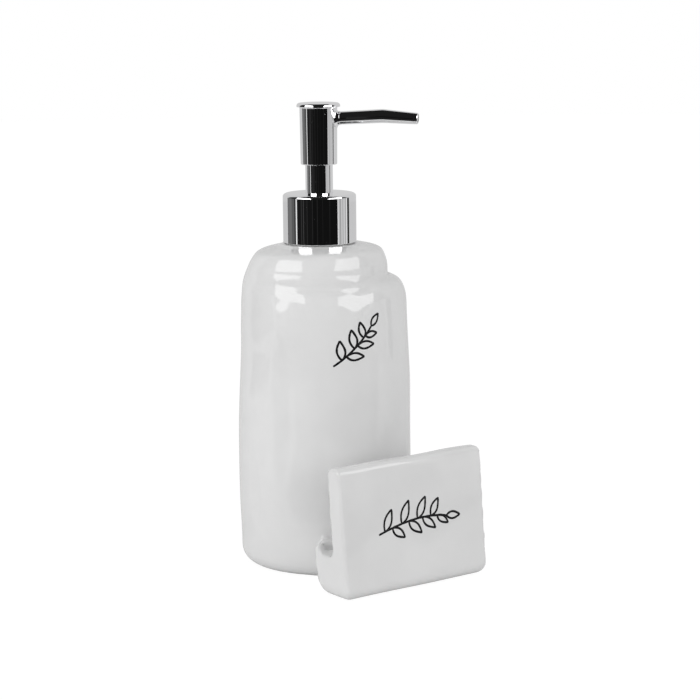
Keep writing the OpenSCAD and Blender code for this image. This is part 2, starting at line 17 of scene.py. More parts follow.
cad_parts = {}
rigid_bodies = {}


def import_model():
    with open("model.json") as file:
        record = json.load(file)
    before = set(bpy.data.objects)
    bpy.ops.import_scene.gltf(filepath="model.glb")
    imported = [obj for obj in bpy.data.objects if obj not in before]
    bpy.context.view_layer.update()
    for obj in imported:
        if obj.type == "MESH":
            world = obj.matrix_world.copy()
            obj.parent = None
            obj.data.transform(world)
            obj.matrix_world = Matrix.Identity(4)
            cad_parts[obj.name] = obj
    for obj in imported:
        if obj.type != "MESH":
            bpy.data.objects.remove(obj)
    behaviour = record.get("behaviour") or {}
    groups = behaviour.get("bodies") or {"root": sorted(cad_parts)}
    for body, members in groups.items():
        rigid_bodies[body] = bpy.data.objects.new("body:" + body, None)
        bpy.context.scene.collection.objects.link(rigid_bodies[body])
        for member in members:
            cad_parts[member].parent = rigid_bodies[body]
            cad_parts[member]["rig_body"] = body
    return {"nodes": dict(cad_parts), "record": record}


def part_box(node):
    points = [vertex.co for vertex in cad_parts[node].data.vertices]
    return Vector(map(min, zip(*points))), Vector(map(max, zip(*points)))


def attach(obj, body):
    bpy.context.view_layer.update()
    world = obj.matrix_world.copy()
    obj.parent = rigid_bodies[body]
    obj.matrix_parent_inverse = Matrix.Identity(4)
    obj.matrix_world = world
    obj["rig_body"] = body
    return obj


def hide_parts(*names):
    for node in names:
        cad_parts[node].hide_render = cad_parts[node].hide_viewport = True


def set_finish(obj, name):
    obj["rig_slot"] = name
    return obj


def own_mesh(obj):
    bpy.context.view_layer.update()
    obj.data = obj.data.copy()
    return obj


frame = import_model()
scene = bpy.context.scene
MM = 0.001
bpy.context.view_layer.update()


def span(node):
    """Lowest and highest corner of a CAD node, in millimetres."""
    low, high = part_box(node)
    return np.array(low) / MM, np.array(high) / MM


def smoothstep(low, high, value):
    """Soft step from 0 at low to 1 at high; low may be the greater of the two."""
    t = np.clip((value - low) / (high - low), 0, 1)
    return t * t * (3 - 2 * t)


# %% [markdown]
# ## The ceramic as a field
# The casting is soft: every edge is rounded by the glaze, and the hand-formed wall wavers. That
# is easiest to write as a signed distance, negative inside. An outline is measured once on a
# fine grid and then turned round the axis or drawn out along the tray. Two bodies are joined by
# a smooth minimum, which leaves the small fillet that a glaze leaves.

# %% Outlines and their distance grids
STEP = 0.25


def arc(cu, cv, r, a0, a1, count=14):
    return [(cu + r * math.cos(a), cv + r * math.sin(a)) for a in np.radians(np.linspace(a0, a1, count))]


def outline_grid(outline, low, high):
    """Signed distance to a closed outline, on a grid from low to high."""
    p = np.array(outline, float)
    nu, nv = (int(round((high[i] - low[i]) / STEP)) + 1 for i in (0, 1))
    u, v = np.meshgrid(low[0] + STEP * np.arange(nu), low[1] + STEP * np.arange(nv), indexing="ij")
    x = np.stack([u.ravel(), v.ravel()], 1)
    near = np.full(len(x), np.inf)
    inside = np.zeros(len(x), bool)
    for a, b in zip(p, np.roll(p, -1, 0)):
        e, w = b - a, x - a
        t = np.clip((w @ e) / max(e @ e, 1e-12), 0, 1)
        near = np.minimum(near, ((w - t[:, None] * e) ** 2).sum(1))
        if a[1] != b[1]:
            crosses = (a[1] > x[:, 1]) != (b[1] > x[:, 1])
            inside ^= crosses & (x[:, 0] < a[0] + (x[:, 1] - a[1]) * e[0] / e[1])
    grid = np.sqrt(near) * np.where(inside, -1, 1)
    return {"d": grid.reshape(nu, nv), "low": np.array(low, float)}


def read_grid(grid, u, v):
    """Distance at places between the grid's points."""
    d = grid["d"]
    fu = np.clip((u - grid["low"][0]) / STEP, 0, d.shape[0] - 1.001)
    fv = np.clip((v - grid["low"][1]) / STEP, 0, d.shape[1] - 1.001)
    i, j = fu.astype(int), fv.astype(int)
    s, t = fu - i, fv - j
    return (d[i, j] * (1 - s) * (1 - t) + d[i + 1, j] * s * (1 - t)
            + d[i, j + 1] * (1 - s) * t + d[i + 1, j + 1] * s * t)


def mirrored(half):
    """Closed outline from its right half, which runs from the axis to the axis."""
    return half + [(-u, v) for u, v in reversed(half)]


BELLY_R, BELLY_Z, FOOT_R, FOOT_ROUND = 40.7, 46.0, 39.9, 7.3
SHOULDER_R, SHOULDER_Z, LEDGE_R, LEDGE_Z = 38.8, 120.0, 30.0, 138.4
DOME_FOOT_Z, LAND_Z = 118, 151.6
DOME = [(33.1, DOME_FOOT_Z), (33.05, 138.0), (33.02, 140.2), (32.95, 141.0), (32.84, 141.8), (32.65, 142.9),
        (32.3, 144.2), (31.85, 145.4), (31.35, 146.6), (30.88, 147.6), (30.1, 148.5), (29.0, 149.1),
        (27.6, 149.55), (25.5, 150.0), (23.0, 150.45), (20.0, 150.95), (17.0, LAND_Z)]


def side_r(z):
    """Radius of the bottle's side: a bow with its widest place at the belly, drawn in a little twice."""
    end_z, end_r = (FOOT_ROUND, FOOT_R) if z < BELLY_Z else (SHOULDER_Z, SHOULDER_R)
    bow = BELLY_R - (BELLY_R - end_r) * ((z - BELLY_Z) / (end_z - BELLY_Z)) ** 2
    return bow - 0.25 * math.exp(-((z - 102) / 11) ** 2) - 0.2 * math.exp(-((z - 16) / 8) ** 2)


FULL_OUT, FULL_UP = 0.8, 0.82  # powers of the shoulder's quarter round; 1 would be an ellipse
body_half = [(0, 0)] + arc(side_r(FOOT_ROUND) - FOOT_ROUND, FOOT_ROUND, FOOT_ROUND, -90, 0)
body_half += [(side_r(z), z) for z in np.linspace(FOOT_ROUND + 2, SHOULDER_Z, 40)]
body_half += [(LEDGE_R + (SHOULDER_R - LEDGE_R) * math.cos(a) ** FULL_OUT,
               SHOULDER_Z + (LEDGE_Z - SHOULDER_Z) * math.sin(a) ** FULL_UP)
              for a in np.radians(np.linspace(3, 89.9, 40))] + [(0, LEDGE_Z)]
dome_half = [(0, DOME_FOOT_Z), *DOME, (0, LAND_Z)]
body_grid = outline_grid(mirrored(body_half), (-46, -6), (46, 150))
dome_grid = outline_grid(mirrored(dome_half), (-46, 100), (46, 160))

TRAY_FRONT, TRAY_BACK, PLATE_TOP, PLATE_T, TOE = 71.5, 48.3, 59.2, 9.0, 4.5
FRONT_LEAN, BACK_LEAN = math.tan(math.radians(5.6)), math.tan(math.radians(4.6))
TRAY_HALF, TRAY_SHIFT, EDGE, TROUGH_Z, LIP_Z = 40.75, 1.7, 1.2, 18.2, 22.1
TOP_R, TROUGH_R, LIP_R, LIP_T, HEEL = 2.8, 3, 1.1, 2.4, 7.5


def front_s(z):
    return TRAY_FRONT - (z - TOE) * FRONT_LEAN


def back_s(z):
    return front_s(PLATE_TOP) - PLATE_T + (PLATE_TOP - z) * BACK_LEAN


tray_outline = arc(TRAY_FRONT - TOE, TOE, TOE, -90, 0)
tray_outline += arc(front_s(PLATE_TOP - TOP_R) - TOP_R, PLATE_TOP - TOP_R, TOP_R, 0, 90, 8)
tray_outline += arc(back_s(PLATE_TOP - TOP_R) + TOP_R, PLATE_TOP - TOP_R, TOP_R, 90, 180, 8)
tray_outline += arc(back_s(TROUGH_Z + TROUGH_R) - TROUGH_R, TROUGH_Z + TROUGH_R, TROUGH_R, 0, -90, 8)
tray_outline += arc(TRAY_BACK + LIP_T + TROUGH_R, TROUGH_Z + TROUGH_R, TROUGH_R, -90, -140, 5)
tray_outline += arc(TRAY_BACK + LIP_R, LIP_Z - LIP_R, LIP_R, 60, 180, 6)
tray_outline += [(TRAY_BACK, 13.8)] + arc(TRAY_BACK + 8, HEEL, HEEL, 175, 270)
tray_grid = outline_grid(tray_outline, (30, -6), (86, 70))
print("outline points:", len(body_half), len(dome_half), len(tray_outline))

# %% [markdown]
# The wall's waver is a few slow waves and a set of shallow dents and bulges, each at an azimuth
# and a height. They are small against the 80 mm of the bottle, but a gloss glaze shows every one.
# FRONT is the side that faces the camera, and LEFT and RIGHT are the two edges of its picture,
# where the waver is held back so that the outline stays true.

# %% The wall's waver
FRONT, RIGHT, LEFT = (math.radians(a) for a in (-125.6, -35.6, 144.4))
SHIFT = np.array([math.cos(math.radians(-35.6)), math.sin(math.radians(-35.6))])
# azimuth in degrees, height, half width, half height, depth; a bulge has a depth below zero
DENTS = [(-155.5, 117.5, 6.5, 9, -1.1), (-101.6, 119, 6, 7, -0.5), (-115.5, 128, 5, 4, -0.5),
         (-90, 128, 5, 4, -0.5), (-135, 128, 5, 4, -0.4), (-172, 129, 5, 4, -0.4),
         (-148, 104, 11, 9, 0.45), (-126, 96, 8, 12, 0.40), (-101, 74, 9, 13, 0.50),
         (-112, 118, 9, 6, 0.35), (-70, 88, 12, 10, 0.35), (-160, 60, 12, 16, 0.45),
         (-30, 70, 12, 18, 0.40), (10, 100, 14, 10, 0.45), (52, 62, 12, 16, 0.45),
         (95, 104, 12, 10, 0.40), (128, 52, 13, 17, 0.45), (165, 98, 12, 10, 0.40),
         (-134, 38, 11, 12, 0.40), (-90, 120, 10, 5, 0.25), (20, 34, 12, 12, 0.35)]


def beside(phi, middle, width):
    """1 at an azimuth, falling to 0 over a width in radians."""
    return np.exp(-(np.angle(np.exp(1j * (phi - middle))) / width) ** 2)


def waver(phi, z):
    out = 0.20 * np.sin(2 * phi + 0.7 + z / 47) + 0.14 * np.sin(3 * phi - 1.1 - z / 29)
    out += 0.10 * np.sin(5 * phi + 2.0 + z / 17) + 0.06 * np.sin(7 * phi - z / 11)
    for azimuth, height, half_w, half_h, depth in DENTS:
        around = (np.angle(np.exp(1j * (phi - math.radians(azimuth))))) * BELLY_R / half_w
        out -= depth * np.exp(-(around ** 2 + ((z - height) / half_h) ** 2))
    return out * smoothstep(2, 16, z) * (1 - beside(phi, RIGHT, 0.35) - beside(phi, LEFT, 0.35))


print("dents and bulges:", len(DENTS))

# %% [markdown]
# The bottle is the body and the dome, joined softly. Both lean off the axis a little, since they
# were cast by hand: the body slides sideways with height, and the dome's top tilts. In front the
# shoulder is fuller, its ledge lies lower to the right, and the dome's foot flares out onto it.

# %% The field of the bottle
DOME_SHIFT = 1.3
LOW_AT, STEEP_AT = math.radians(-101.6), math.radians(-155)


def smooth_min(a, b, k):
    h = np.clip(k - np.abs(a - b), 0, None) / k
    return np.minimum(a, b) - h * h * k / 4


def dome_flare(phi, z, skirt, low):
    """How far the dome's foot stands out: a parabola downwards, with a faint groove over it."""
    steep = 0.9 + 0.45 * beside(phi, LOW_AT, 0.3) + 0.45 * beside(phi, STEEP_AT, 0.25)
    sweep = (np.clip(140.3 - z, 0, 4.9 + 0.3 * low) / 3.0) ** 2
    groove = 0.14 * np.exp(-((z - 139.8) / 1.1) ** 2)
    return skirt * (steep * sweep - groove)


def bottle_field(p):
    x, y, z = p.T
    phi = np.arctan2(y, x)
    bump = waver(phi, z)
    front, right, left = beside(phi, FRONT, 0.85), beside(phi, RIGHT, 0.9), beside(phi, LEFT, 0.6)
    slide = (1.1 + 0.6 * smoothstep(60, 95, z) - 0.2 * smoothstep(100, 114, z)
             - 2.6 * smoothstep(126, 146, z))
    r_body = np.hypot(x - slide * SHIFT[0], y - slide * SHIFT[1])
    r_dome = np.hypot(x + DOME_SHIFT * SHIFT[0], y + DOME_SHIFT * SHIFT[1])
    full = front * (1.8 * smoothstep(70, 116, z) - 0.5 * smoothstep(116, 129, z)
                    - 1.9 * smoothstep(131.2, 136.8, z))
    low = 3.4 * beside(phi, LOW_AT, 0.32)
    flare = dome_flare(phi, z, beside(phi, FRONT, 1.25) * (1 - right - left), low)
    tilt = 0.05 * np.clip(-x * SHIFT[0] - y * SHIFT[1], 0, None) * smoothstep(17, 21, np.hypot(x, y))
    low += 2.3 * right * smoothstep(38, 33.5, r_body)
    body = read_grid(body_grid, r_body - bump - full, z + low)
    pull = 0.25 * right + 2.0 * left * smoothstep(138, 150.5, z)
    dome = read_grid(dome_grid, r_dome - 0.4 * bump - flare + pull, z + tilt)
    return smooth_min(body, dome, 3.4 - 2.0 * right - 1.6 * front)


print("field on the belly's front:", round(float(bottle_field(np.array([[0, -BELLY_R, BELLY_Z]]))[0]), 2))

# %% [markdown]
# The tray is one outline drawn out along X, and the waist is the solid that sweeps in from its
# back edge to the bottle. Both end in rounded edges, which a field gets from the length of the
# part of two distances that lies outside.

# %% The field of tray and waist


def both(a, b, r):
    """Where two fields overlap, with the edge between them rounded."""
    a, b = a + r, b + r
    return np.minimum(np.maximum(a, b), 0) + np.hypot(np.maximum(a, 0), np.maximum(b, 0)) - r


def tray_field(p):
    x, y, z = p.T
    s = -y
    ripple = 0.16 * np.sin(x / 8.3 + 0.6) * np.sin(z / 9.7 + 1.1) + 0.12 * np.sin(x / 14 - z / 16)
    lift = 0.15 * np.sin(x / 6.1) * smoothstep(30, 50, z)
    section = read_grid(tray_grid, s - ripple, z + lift)
    half = TRAY_HALF - 3.2 * (1 - np.sqrt(1 - np.clip((6.0 - z) / 6.0, 0, 1) ** 2))
    return both(section, np.abs(x - TRAY_SHIFT) + ripple - half, EDGE + 1.0 * smoothstep(16, 3, z))


WAIST_IN, WAIST_FALL, WAIST_EDGE = 1.02, 0.17, 1.2  # narrowing and fall for each unit of length


def waist_field(p):
    x, y, z = p.T
    back = TRAY_BACK + y
    inwards = np.clip(back, 0, None)
    heel = HEEL * (1 - np.sqrt(1 - np.clip((HEEL - z) / HEEL, 0, 1) ** 2))
    half = TRAY_HALF - 0.5 - WAIST_IN * inwards - heel
    sides = (np.abs(x - TRAY_SHIFT * (1 - back / 14.4)) - half) / 1.43
    top = z - LIP_Z + 0.3 + WAIST_FALL * inwards
    return np.maximum(both(top, sides, WAIST_EDGE), np.abs(back - 8.1) - 8.4)


def ceramic_field(p):
    return smooth_min(bottle_field(p), smooth_min(tray_field(p), waist_field(p), 2.0), 2.0)


def slope(field, p, h=0.15):
    g = np.stack([field(p + e) - field(p - e) for e in np.eye(3) * h], 1) / (2 * h)
    return g


print("field in the trough:", round(float(ceramic_field(np.array([[0, -TRAY_BACK - 8, TROUGH_Z + 5]]))[0]), 2))

# %% [markdown]
# ## The ceramic's mesh
# A voxel remesh of the CAD casting gives even quads with the inside of the bottle in them. Each
# vertex near the outer surface then slides down the field onto it, and a little averaging near
# the waist softens the joins there.

# %% Make the ceramic piece


def mesh_object(name, points_mm, faces, smooth=True):
    mesh = bpy.data.meshes.new(name)
    mesh.from_pydata([tuple(q) for q in np.asarray(points_mm, float) * MM], [], faces)
    mesh.validate()
    if smooth:
        mesh.polygons.foreach_set("use_smooth", [True] * len(mesh.polygons))
    obj = bpy.data.objects.new(name, mesh)
    scene.collection.objects.link(obj)
    return obj


def evaluated_copy(obj):
    """The mesh that an object's modifiers make, as real data; the modifiers are gone after it."""
    bpy.context.view_layer.update()
    graph = bpy.context.evaluated_depsgraph_get()
    data = bpy.data.meshes.new_from_object(obj.evaluated_get(graph), depsgraph=graph)
    obj.modifiers.clear()
    if obj.type == "MESH":
        obj.data = data
        return obj
    made = bpy.data.objects.new(obj.name + "_mesh", data)
    scene.collection.objects.link(made)
    return made


def positions(obj):
    co = np.zeros(len(obj.data.vertices) * 3)
    obj.data.vertices.foreach_get("co", co)
    return co.reshape(-1, 3)


def cad_copy(node, name):
    """A copy of a CAD node's mesh with its loose triangles joined."""
    import bmesh
    bm = bmesh.new()
    bm.from_mesh(frame["nodes"][node].data)
    bmesh.ops.remove_doubles(bm, verts=bm.verts, dist=1e-6)
    mesh = bpy.data.meshes.new(name)
    bm.to_mesh(mesh)
    bm.free()
    obj = bpy.data.objects.new(name, mesh)
    scene.collection.objects.link(obj)
    return obj


ceramic = cad_copy("caddy_body", "ceramic")
remesh = ceramic.modifiers.new("even quads", "REMESH")
remesh.mode = "VOXEL"
remesh.voxel_size = 0.9 * MM
ceramic = evaluated_copy(ceramic)

p = positions(ceramic) / MM
cad_low, cad_high = span("caddy_body")
edges = np.zeros(len(ceramic.data.edges) * 2, int)
ceramic.data.edges.foreach_get("vertices", edges)
edges = edges.reshape(-1, 2)


def relax(p, share, rounds):
    """Moves each vertex a share of the way to the middle of its neighbours."""
    count = np.bincount(edges.ravel(), minlength=len(p))[:, None]
    for _ in range(rounds):
        total = np.zeros_like(p)
        for k in range(3):
            total[:, k] = (np.bincount(edges[:, 0], p[edges[:, 1], k], len(p))
                           + np.bincount(edges[:, 1], p[edges[:, 0], k], len(p)))
        p = p + share[:, None] * (total / np.maximum(count, 1) - p)
    return p


def settle(p, rounds=3):
    mouth = np.hypot(p[:, 0], p[:, 1])
    for _ in range(rounds):
        f = ceramic_field(p)
        g = slope(ceramic_field, p)
        reach = 2.4 + 1.2 * (p[:, 1] < -43)
        weight = 1 - smoothstep(reach, reach + 1.0, np.abs(f))
        weight *= np.where(p[:, 2] > 140, smoothstep(17.0, 18.6, mouth), 1)
        p = p - (weight * f / np.maximum((g * g).sum(1), 0.3))[:, None] * g
    return p


waist = smoothstep(30, 34, -p[:, 1]) * (1 - smoothstep(50, 54, -p[:, 1])) * (1 - smoothstep(20, 24, p[:, 2]))
p = relax(p, 0.5 * np.ones(len(p)), 2)
p = settle(p)
p = relax(p, 0.6 * waist, 6)
p = settle(p, 2)
p = relax(p, 0.25 + 0.4 * waist, 1)
p[:, 2] = np.maximum(p[:, 2], 0)
p = np.clip(p, cad_low, cad_high)
ceramic.data.vertices.foreach_set("co", (p * MM).ravel())
ceramic.data.polygons.foreach_set("use_smooth", [True] * len(ceramic.data.polygons))
ceramic.data.update()
print("ceramic vertices:", len(p), "faces:", len(ceramic.data.polygons))

# %% [markdown]
# ## Turned pieces
# The chromed collar, sleeve and head are bodies of revolution. Each is turned from an outline
# with its small roundings drawn as arcs, so that the plating catches a thin line of light on
# every edge. Heights and radii come from the CAD nodes' boxes.

# %% Turn the chromed pieces


def held(outline):
    """The outline with points just inside both ends of each long segment, which keep its shading flat."""
    corners = [np.array(q, float) for q in outline]
    out = []
    for a, b in zip(corners, corners[1:] + corners[:1]):
        out.append(a)
        length = np.linalg.norm(b - a)
        if length > 0.8 and a[0] + b[0] > 1e-6:
            out += [a + (b - a) * d / length for d in (0.08, 0.25, length - 0.25, length - 0.08)]
    return out


def turned(name, outline, segments=128):
    """Closed ring of quads from a closed outline of (radius, height) points; radius 0 closes a cap."""
    points, rows = [], []
    for r, z in held(outline):
        if r < 1e-6:
            rows.append([len(points)])
            points.append((0, 0, z))
        else:
            rows.append(list(range(len(points), len(points) + segments)))
            points += [(r * math.cos(a), r * math.sin(a), z)
                       for a in 2 * math.pi * np.arange(segments) / segments]
    faces = []
    for a, b in zip(rows, rows[1:] + rows[:1]):
        for i in range(segments):
            j = (i + 1) % segments
            if len(a) == 1 and len(b) == 1:
                break
            if len(a) == 1:
                faces.append((a[0], b[i], b[j]))
            elif len(b) == 1:
                faces.append((a[i], b[0], a[j]))
            else:
                faces.append((a[i], b[i], b[j], a[j]))
    obj = mesh_object(name, points, faces)
    obj.data.set_sharp_from_angle(angle=math.radians(32))
    return obj


(_, _, collar_low), (collar_r, _, collar_top) = span("collar_shell")
(_, _, sleeve_low), (sleeve_r, _, sleeve_top) = span("neck_sleeve")
(_, _, head_low), (disc_r, _, head_top) = span("head_shell")
HEAD_R, HEAD_WALL, COLLAR_WALL, COLLAR_TOP_T, TRIM = 8.7, 0.9, 0.8, 1.5, 0.15
core_r = HEAD_R - HEAD_WALL
liner_r = collar_r - COLLAR_WALL
collar_r, sleeve_r, disc_r, head_r = collar_r - TRIM, sleeve_r - TRIM, disc_r - 0.05, HEAD_R - TRIM
HEAD_MORE = 0.6
(_, _, _), (_, _, core_top) = span("head_core")

collar = turned("collar_shell_chrome",
                [(liner_r, collar_low + 0.15), (liner_r + 0.15, collar_low)]
                + arc(collar_r - 0.22, collar_low + 0.22, 0.22, -90, 0, 6)
                + [(collar_r - 1.9 + 1.9 * math.cos(a), collar_top - 1.72 + 1.5 * math.sin(a))
                   for a in np.radians(np.linspace(0, 82, 20))]
                + [(13.0, collar_top - 0.16), (9.0, collar_top - 0.02)]
                + arc(sleeve_r + 0.35, collar_top - 0.25, 0.25, 84, 180, 5)
                + [(sleeve_r + 0.1, collar_top - COLLAR_TOP_T), (liner_r, collar_top - COLLAR_TOP_T)])
sleeve = turned("neck_sleeve_chrome",
                [(sleeve_r - 0.55, sleeve_low), (sleeve_r, sleeve_low), (sleeve_r, sleeve_top - 0.3)]
                + arc(sleeve_r - 0.3, sleeve_top - 0.3, 0.3, 0, 90, 5)
                + [(sleeve_r - 0.55, sleeve_top)], 96)
FLARE_H = 0.45
skirt_low = head_low - HEAD_MORE
head = turned("head_shell_chrome",
              [(core_r, head_low + 0.1), (core_r, skirt_low + 0.1), (core_r + 0.1, skirt_low)]
              + arc(head_r - 0.55, skirt_low + 0.5, 0.5, -90, 0, 8)
              + [(head_r + 0.2 + 1.0 * (1 - math.cos(a)), head_top - 1.8 - FLARE_H + FLARE_H * math.sin(a))
                 for a in np.radians(np.linspace(0, 78, 12))]
              + [(disc_r - 0.28, head_top - 1.78), (disc_r - 0.08, head_top - 1.70)]
              + [(disc_r, head_top - 1.54)]
              + [(disc_r - 1.2 + 1.2 * math.cos(a), head_top - 1.5 + 1.5 * math.sin(a))
                 for a in np.radians(np.linspace(5, 90, 18))]
              + [(0, head_top), (0, core_top), (core_r, core_top)], 128)
print("turned:", [o.name for o in (collar, sleeve, head)])

# %% [markdown]
# The nozzle is a round pipe that tapers both ways from its bend. It is swept ring by ring along
# a line with a tight bend, ends in a squared rim round the soft tube, and has a small ring where
# it leaves the head.

# %% Sweep the nozzle
NOZZLE = math.radians(-47.6)
along = np.array([math.cos(NOZZLE), math.sin(NOZZLE), 0])
across = np.array([-math.sin(NOZZLE), math.cos(NOZZLE), 0])
up = np.array([0, 0, 1.0])
NOZZLE_Z, BEND_X, TIP_X, RISE, FALL = 209.25, 30.2, 46.85, 1.1, 1.2
rise = RISE / (BEND_X - HEAD_R)
fall = FALL / (TIP_X - BEND_X)
start_z = NOZZLE_Z - HEAD_R * rise


def nozzle_line(x):
    """Height of the centre line at a distance from the pump's axis, with a short soft bend."""
    soft = 0.9
    z = start_z + rise * min(x, BEND_X) - fall * max(x - BEND_X, 0)
    if abs(x - BEND_X) < soft:
        z -= (rise + fall) / 2 * (soft - abs(x - BEND_X)) ** 2 / (2 * soft)
    return z


def nozzle_radius(x):
    if x < BEND_X:
        return 3.0 + (3.17 - 3.0) * x / BEND_X
    return 3.17 + (2.6 - 3.17) * (x - BEND_X) / (TIP_X - BEND_X)


def swept(name, stations, segments=48):
    """Pipe through stations of (distance, radius), closed at both ends."""
    points = []
    for x, r in stations:
        hug = smoothstep(10.2, 8.9, x)
        lean = math.atan(rise if x < BEND_X else -fall)
        if abs(x - BEND_X) < 1.2:
            lean = math.atan(rise) + (math.atan(-fall) - math.atan(rise)) * (x - BEND_X + 1.2) / 2.4
        out = along * x + up * nozzle_line(x)
        normal = up * math.cos(lean) - along * math.sin(lean)
        for a in 2 * math.pi * np.arange(segments) / segments:
            sink = hug * (HEAD_R - math.sqrt(HEAD_R ** 2 - (r * math.cos(a)) ** 2))
            points.append(out + r * (across * math.cos(a) + normal * math.sin(a)) - sink * along)
    faces = []
    last = (len(stations) - 1) * segments
    for k in range(0, last, segments):
        for i in range(segments):
            j = (i + 1) % segments
            faces.append((k + i, k + segments + i, k + segments + j, k + j))
    faces.append(tuple(range(segments)))
    faces.append(tuple(reversed(range(last, last + segments))))
    obj = mesh_object(name, points, faces)
    obj.data.set_sharp_from_angle(angle=math.radians(35))
    return obj


tip_end = TIP_X - 0.02
stations = [(8.2, 4.6), (8.6, 4.5), (8.75, 4.05), (8.95, 3.7), (9.25, 3.42), (9.6, 3.27), (10.0, 3.22),
            (10.2, 3.2), (10.32, 3.1)]
stations += [(x, nozzle_radius(x)) for x in [10.8, 15, 20, 25, 29.0, 29.4, 29.8, 30.2, 30.6, 31.0, 31.4,
                                             35, 40, 44, TIP_X - 1.5]]
stations += [(TIP_X - d, r) for d, r in [(1.3, 2.62), (1.0, 2.64), (0.7, 2.62), (0.4, 2.54), (0.2, 2.42),
                                         (0.07, 2.27)]]
stations += [(tip_end, 2.1), (tip_end - 0.03, 1.97), (tip_end - 0.2, 1.92), (tip_end - 5, 1.92)]
nozzle = swept("nozzle_chrome", stations)
print("nozzle stations:", len(stations), "tip at", round(nozzle_line(TIP_X), 2))

# %% [markdown]
# ## Inner pieces
# The plastic and steel pieces inside the pump keep their CAD shape. Each is copied with its
# triangles joined and shaded smooth, except over sharp edges, and stands for its CAD node.

# %% Copy the inner pieces
BODY_OF = {n: o["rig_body"] for n, o in frame["nodes"].items()}
SLOTS = {row["node"]: row["material_slot"] for row in frame["record"]["subparts"]}
INNER = ["neck_insert", "insert_bond", "neck_gasket", "collar_liner", "lock_ring", "pump_housing",
         "ball_retainer", "check_ball", "dip_tube", "stem", "stem_tip", "piston_seal", "head_core",
         "nozzle_tube"]


def stands_for(obj, node):
    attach(obj, BODY_OF[node])
    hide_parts(node)
    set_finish(obj, SLOTS[node])
    return obj


inner = {}
for node in INNER:
    piece = cad_copy(node, node + "_smooth")
    piece.data.polygons.foreach_set("use_smooth", [True] * len(piece.data.polygons))
    piece.data.set_sharp_from_angle(angle=math.radians(28))
    inner[node] = stands_for(piece, node)
stands_for(ceramic, "caddy_body")
stands_for(collar, "collar_shell")
stands_for(sleeve, "neck_sleeve")
stands_for(head, "head_shell")
stands_for(nozzle, "nozzle")
print("smooth copies:", len(inner))

# %% [markdown]
# ## Return spring
# The spring is one wire on a helix. Geometry Nodes draws the helix and sweeps a round wire along
# it; the tree's inputs are the coil's radius, length, turns and wire.

# %% Build the spring with Geometry Nodes


def new_tree(name, inputs):
    """A geometry tree with a Geometry input and output and the named inputs."""
    tree = bpy.data.node_groups.new(name, "GeometryNodeTree")
    tree.interface.new_socket("Geometry", in_out="INPUT", socket_type="NodeSocketGeometry")
    tree.interface.new_socket("Geometry", in_out="OUTPUT", socket_type="NodeSocketGeometry")
    for label, kind, value in inputs:
        socket = tree.interface.new_socket(label, in_out="INPUT", socket_type="NodeSocket" + kind)
        if value is not None:
            socket.default_value = value
    return tree, tree.nodes.new("NodeGroupInput"), tree.nodes.new("NodeGroupOutput")


def set_inputs(modifier, values):
    for item in modifier.node_group.interface.items_tree:
        if item.item_type == "SOCKET" and item.in_out == "INPUT" and item.name in values:
            modifier[item.identifier] = values[item.name]


def run_tree(obj, tree, values):
    modifier = obj.modifiers.new(tree.name, "NODES")
    modifier.node_group = tree
    set_inputs(modifier, values)
    return evaluated_copy(obj)


tree, group_in, group_out = new_tree("spring_tree", [
    ("Coil radius", "Float", 0.0046), ("Length", "Float", 0.032), ("Turns", "Float", 9.0),
    ("Wire radius", "Float", 0.00045), ("Foot", "Vector", (0, 0, 0)), ("Material", "Material", None)])
spiral = tree.nodes.new("GeometryNodeCurveSpiral")
spiral.inputs["Resolution"].default_value = 40
wire = tree.nodes.new("GeometryNodeCurvePrimitiveCircle")
wire.inputs["Resolution"].default_value = 12
sweep = tree.nodes.new("GeometryNodeCurveToMesh")
sweep.inputs["Fill Caps"].default_value = True
place = tree.nodes.new("GeometryNodeTransform")
shade = tree.nodes.new("GeometryNodeSetShadeSmooth")
paint = tree.nodes.new("GeometryNodeSetMaterial")
real = tree.nodes.new("GeometryNodeRealizeInstances")
link = tree.links.new
link(group_in.outputs["Coil radius"], spiral.inputs["Start Radius"])
link(group_in.outputs["Coil radius"], spiral.inputs["End Radius"])
link(group_in.outputs["Length"], spiral.inputs["Height"])
link(group_in.outputs["Turns"], spiral.inputs["Rotations"])
link(group_in.outputs["Wire radius"], wire.inputs["Radius"])
link(spiral.outputs["Curve"], sweep.inputs["Curve"])
link(wire.outputs["Curve"], sweep.inputs["Profile Curve"])
link(sweep.outputs["Mesh"], place.inputs["Geometry"])
link(group_in.outputs["Foot"], place.inputs["Translation"])
link(place.outputs["Geometry"], shade.inputs["Geometry"])
link(shade.outputs["Geometry"], real.inputs["Geometry"])
link(real.outputs["Geometry"], paint.inputs["Geometry"])
link(group_in.outputs["Material"], paint.inputs["Material"])
link(paint.outputs["Geometry"], group_out.inputs["Geometry"])

# %% [markdown]
# ## Materials
# Each material is a small node tree on Object coordinates. The glaze is a glossy white with a
# slow ripple and a little finer one on it, faint mottling, and a bare biscuit foot. Chrome is a
# clean mirror with a few dull specks. The plastics are plain.

# %% Make the materials


def shader(name, colour, roughness, metallic=0.0):
    mat = bpy.data.materials.new(name)
    mat.use_nodes = True
    bsdf = mat.node_tree.nodes["Principled BSDF"]
    bsdf.inputs["Base Color"].default_value = (*colour, 1)
    bsdf.inputs["Roughness"].default_value = roughness
    bsdf.inputs["Metallic"].default_value = metallic
    mat.diffuse_color = (*colour, 1)
    return mat, mat.node_tree, bsdf


def noise(nodes, links, coord, scale, detail=2.0):
    node = nodes.new("ShaderNodeTexNoise")
    node.inputs["Scale"].default_value = scale
    node.inputs["Detail"].default_value = detail
    links.new(coord.outputs["Object"], node.inputs["Vector"])
    return node


